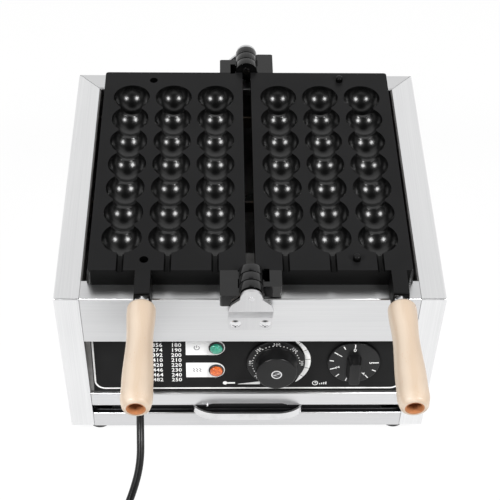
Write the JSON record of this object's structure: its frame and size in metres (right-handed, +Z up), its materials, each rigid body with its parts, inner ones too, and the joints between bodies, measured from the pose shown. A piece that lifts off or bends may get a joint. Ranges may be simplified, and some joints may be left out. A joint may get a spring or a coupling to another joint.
{
  "type": "waffle stick maker",
  "caption": "Countertop waffle stick maker with two cavity plates that fold on a middle hinge over a steel housing with dials, lamps and a crumb tray.",
  "frame": {"origin": "on the surface the feet stand on, under the middle of the housing's width and depth", "axes": "+X to the user's right, +Y to the back, +Z up; the control panel faces -Y"},
  "size_m": [0.37, 0.6178, 0.2484],
  "materials": {
    "steel": "fine brushed",
    "inner_steel": "dull mill",
    "bright_hardware": "bright plated",
    "heater_tube": "heat darkened",
    "coated_casting": "black non-stick coating, satin",
    "beech": "clear lacquer",
    "black_dial": "satin black",
    "black_film": "printed film",
    "pale_label": "matt",
    "green_lens": "clear green",
    "amber_lens": "clear amber",
    "dark_plastic": "moulded",
    "porcelain": "glazed ceramic",
    "black_rubber": "matt"
  },
  "bodies": {
    "housing": {"side_panel_left": "steel", "side_panel_right": "steel", "rear_panel": "steel", "front_apron": "steel", "front_rail": "steel", "base_plate": "steel", "hinge_bracket_front": "steel", "hinge_bracket_rear": "steel", "chamber_liner_left": "inner_steel", "chamber_liner_right": "inner_steel", "chamber_liner_rear": "inner_steel", "control_box": "inner_steel", "tray_runners": "inner_steel", "heater_bars": "inner_steel", "control_panel": "inner_steel", "hinge_pins": "bright_hardware", "bracket_screws": "bright_hardware", "rear_screws": "bright_hardware", "foot_screws": "bright_hardware", "plug_pins": "bright_hardware", "heater_left": "heater_tube", "heater_right": "heater_tube", "panel_film": "black_film", "lamp_labels": "pale_label", "power_lamp_lens": "green_lens", "heat_lamp_lens": "amber_lens", "lamp_bodies": "dark_plastic", "thermostat_body": "dark_plastic", "timer_body": "dark_plastic", "terminal_block": "porcelain", "heater_terminals": "porcelain", "feet": "black_rubber", "cable_gland": "black_rubber", "cord_run": "black_rubber", "cord_coil": "black_rubber", "cord_tail": "black_rubber", "cord_tie": "black_rubber", "power_plug": "black_rubber"},
    "left_plate_unit": {"left_plate": "coated_casting", "left_hinge_lugs": "coated_casting", "left_handle_stud": "bright_hardware", "left_handle_nut": "bright_hardware", "left_handle_grip": "beech", "left_handle_end_nut": "bright_hardware"},
    "right_plate_unit": {"right_plate": "coated_casting", "right_hinge_lugs": "coated_casting", "guide_pins": "coated_casting", "right_handle_stud": "bright_hardware", "right_handle_nut": "bright_hardware", "right_handle_grip": "beech", "right_handle_end_nut": "bright_hardware"},
    "drawer": {"crumb_tray": "steel", "tray_front": "steel", "tray_pull": "steel"},
    "thermostat_knob": {"thermostat_dial": "black_dial", "dial_screw": "bright_hardware", "thermostat_shaft": "bright_hardware"},
    "timer_knob": {"timer_dial": "black_dial", "timer_shaft": "bright_hardware"}
  },
  "joints": [
    {"name": "left_plate_fold", "type": "hinge", "parent": "housing", "child": "left_plate_unit", "pos_m": [0, 0, 0.2369], "axis": [0, 1, 0], "range_deg": [0, 180]},
    {"name": "right_plate_fold", "type": "hinge", "parent": "housing", "child": "right_plate_unit", "pos_m": [0, 0, 0.2369], "axis": [0, 1, 0], "range_deg": [-180, 0]},
    {"name": "crumb_tray_slide", "type": "slide", "parent": "housing", "child": "drawer", "axis": [0, -1, 0], "range_m": [0, 0.11]},
    {"name": "thermostat_turn", "type": "hinge", "parent": "housing", "child": "thermostat_knob", "pos_m": [0.0276, -0.15689, 0.10978], "axis": [0, 0.9848, -0.1736], "range_deg": [0, 285]},
    {"name": "timer_turn", "type": "hinge", "parent": "housing", "child": "timer_knob", "pos_m": [0.1061, -0.15679, 0.11037], "axis": [0, 0.9848, -0.1736], "range_deg": [0, 270]}
  ]
}
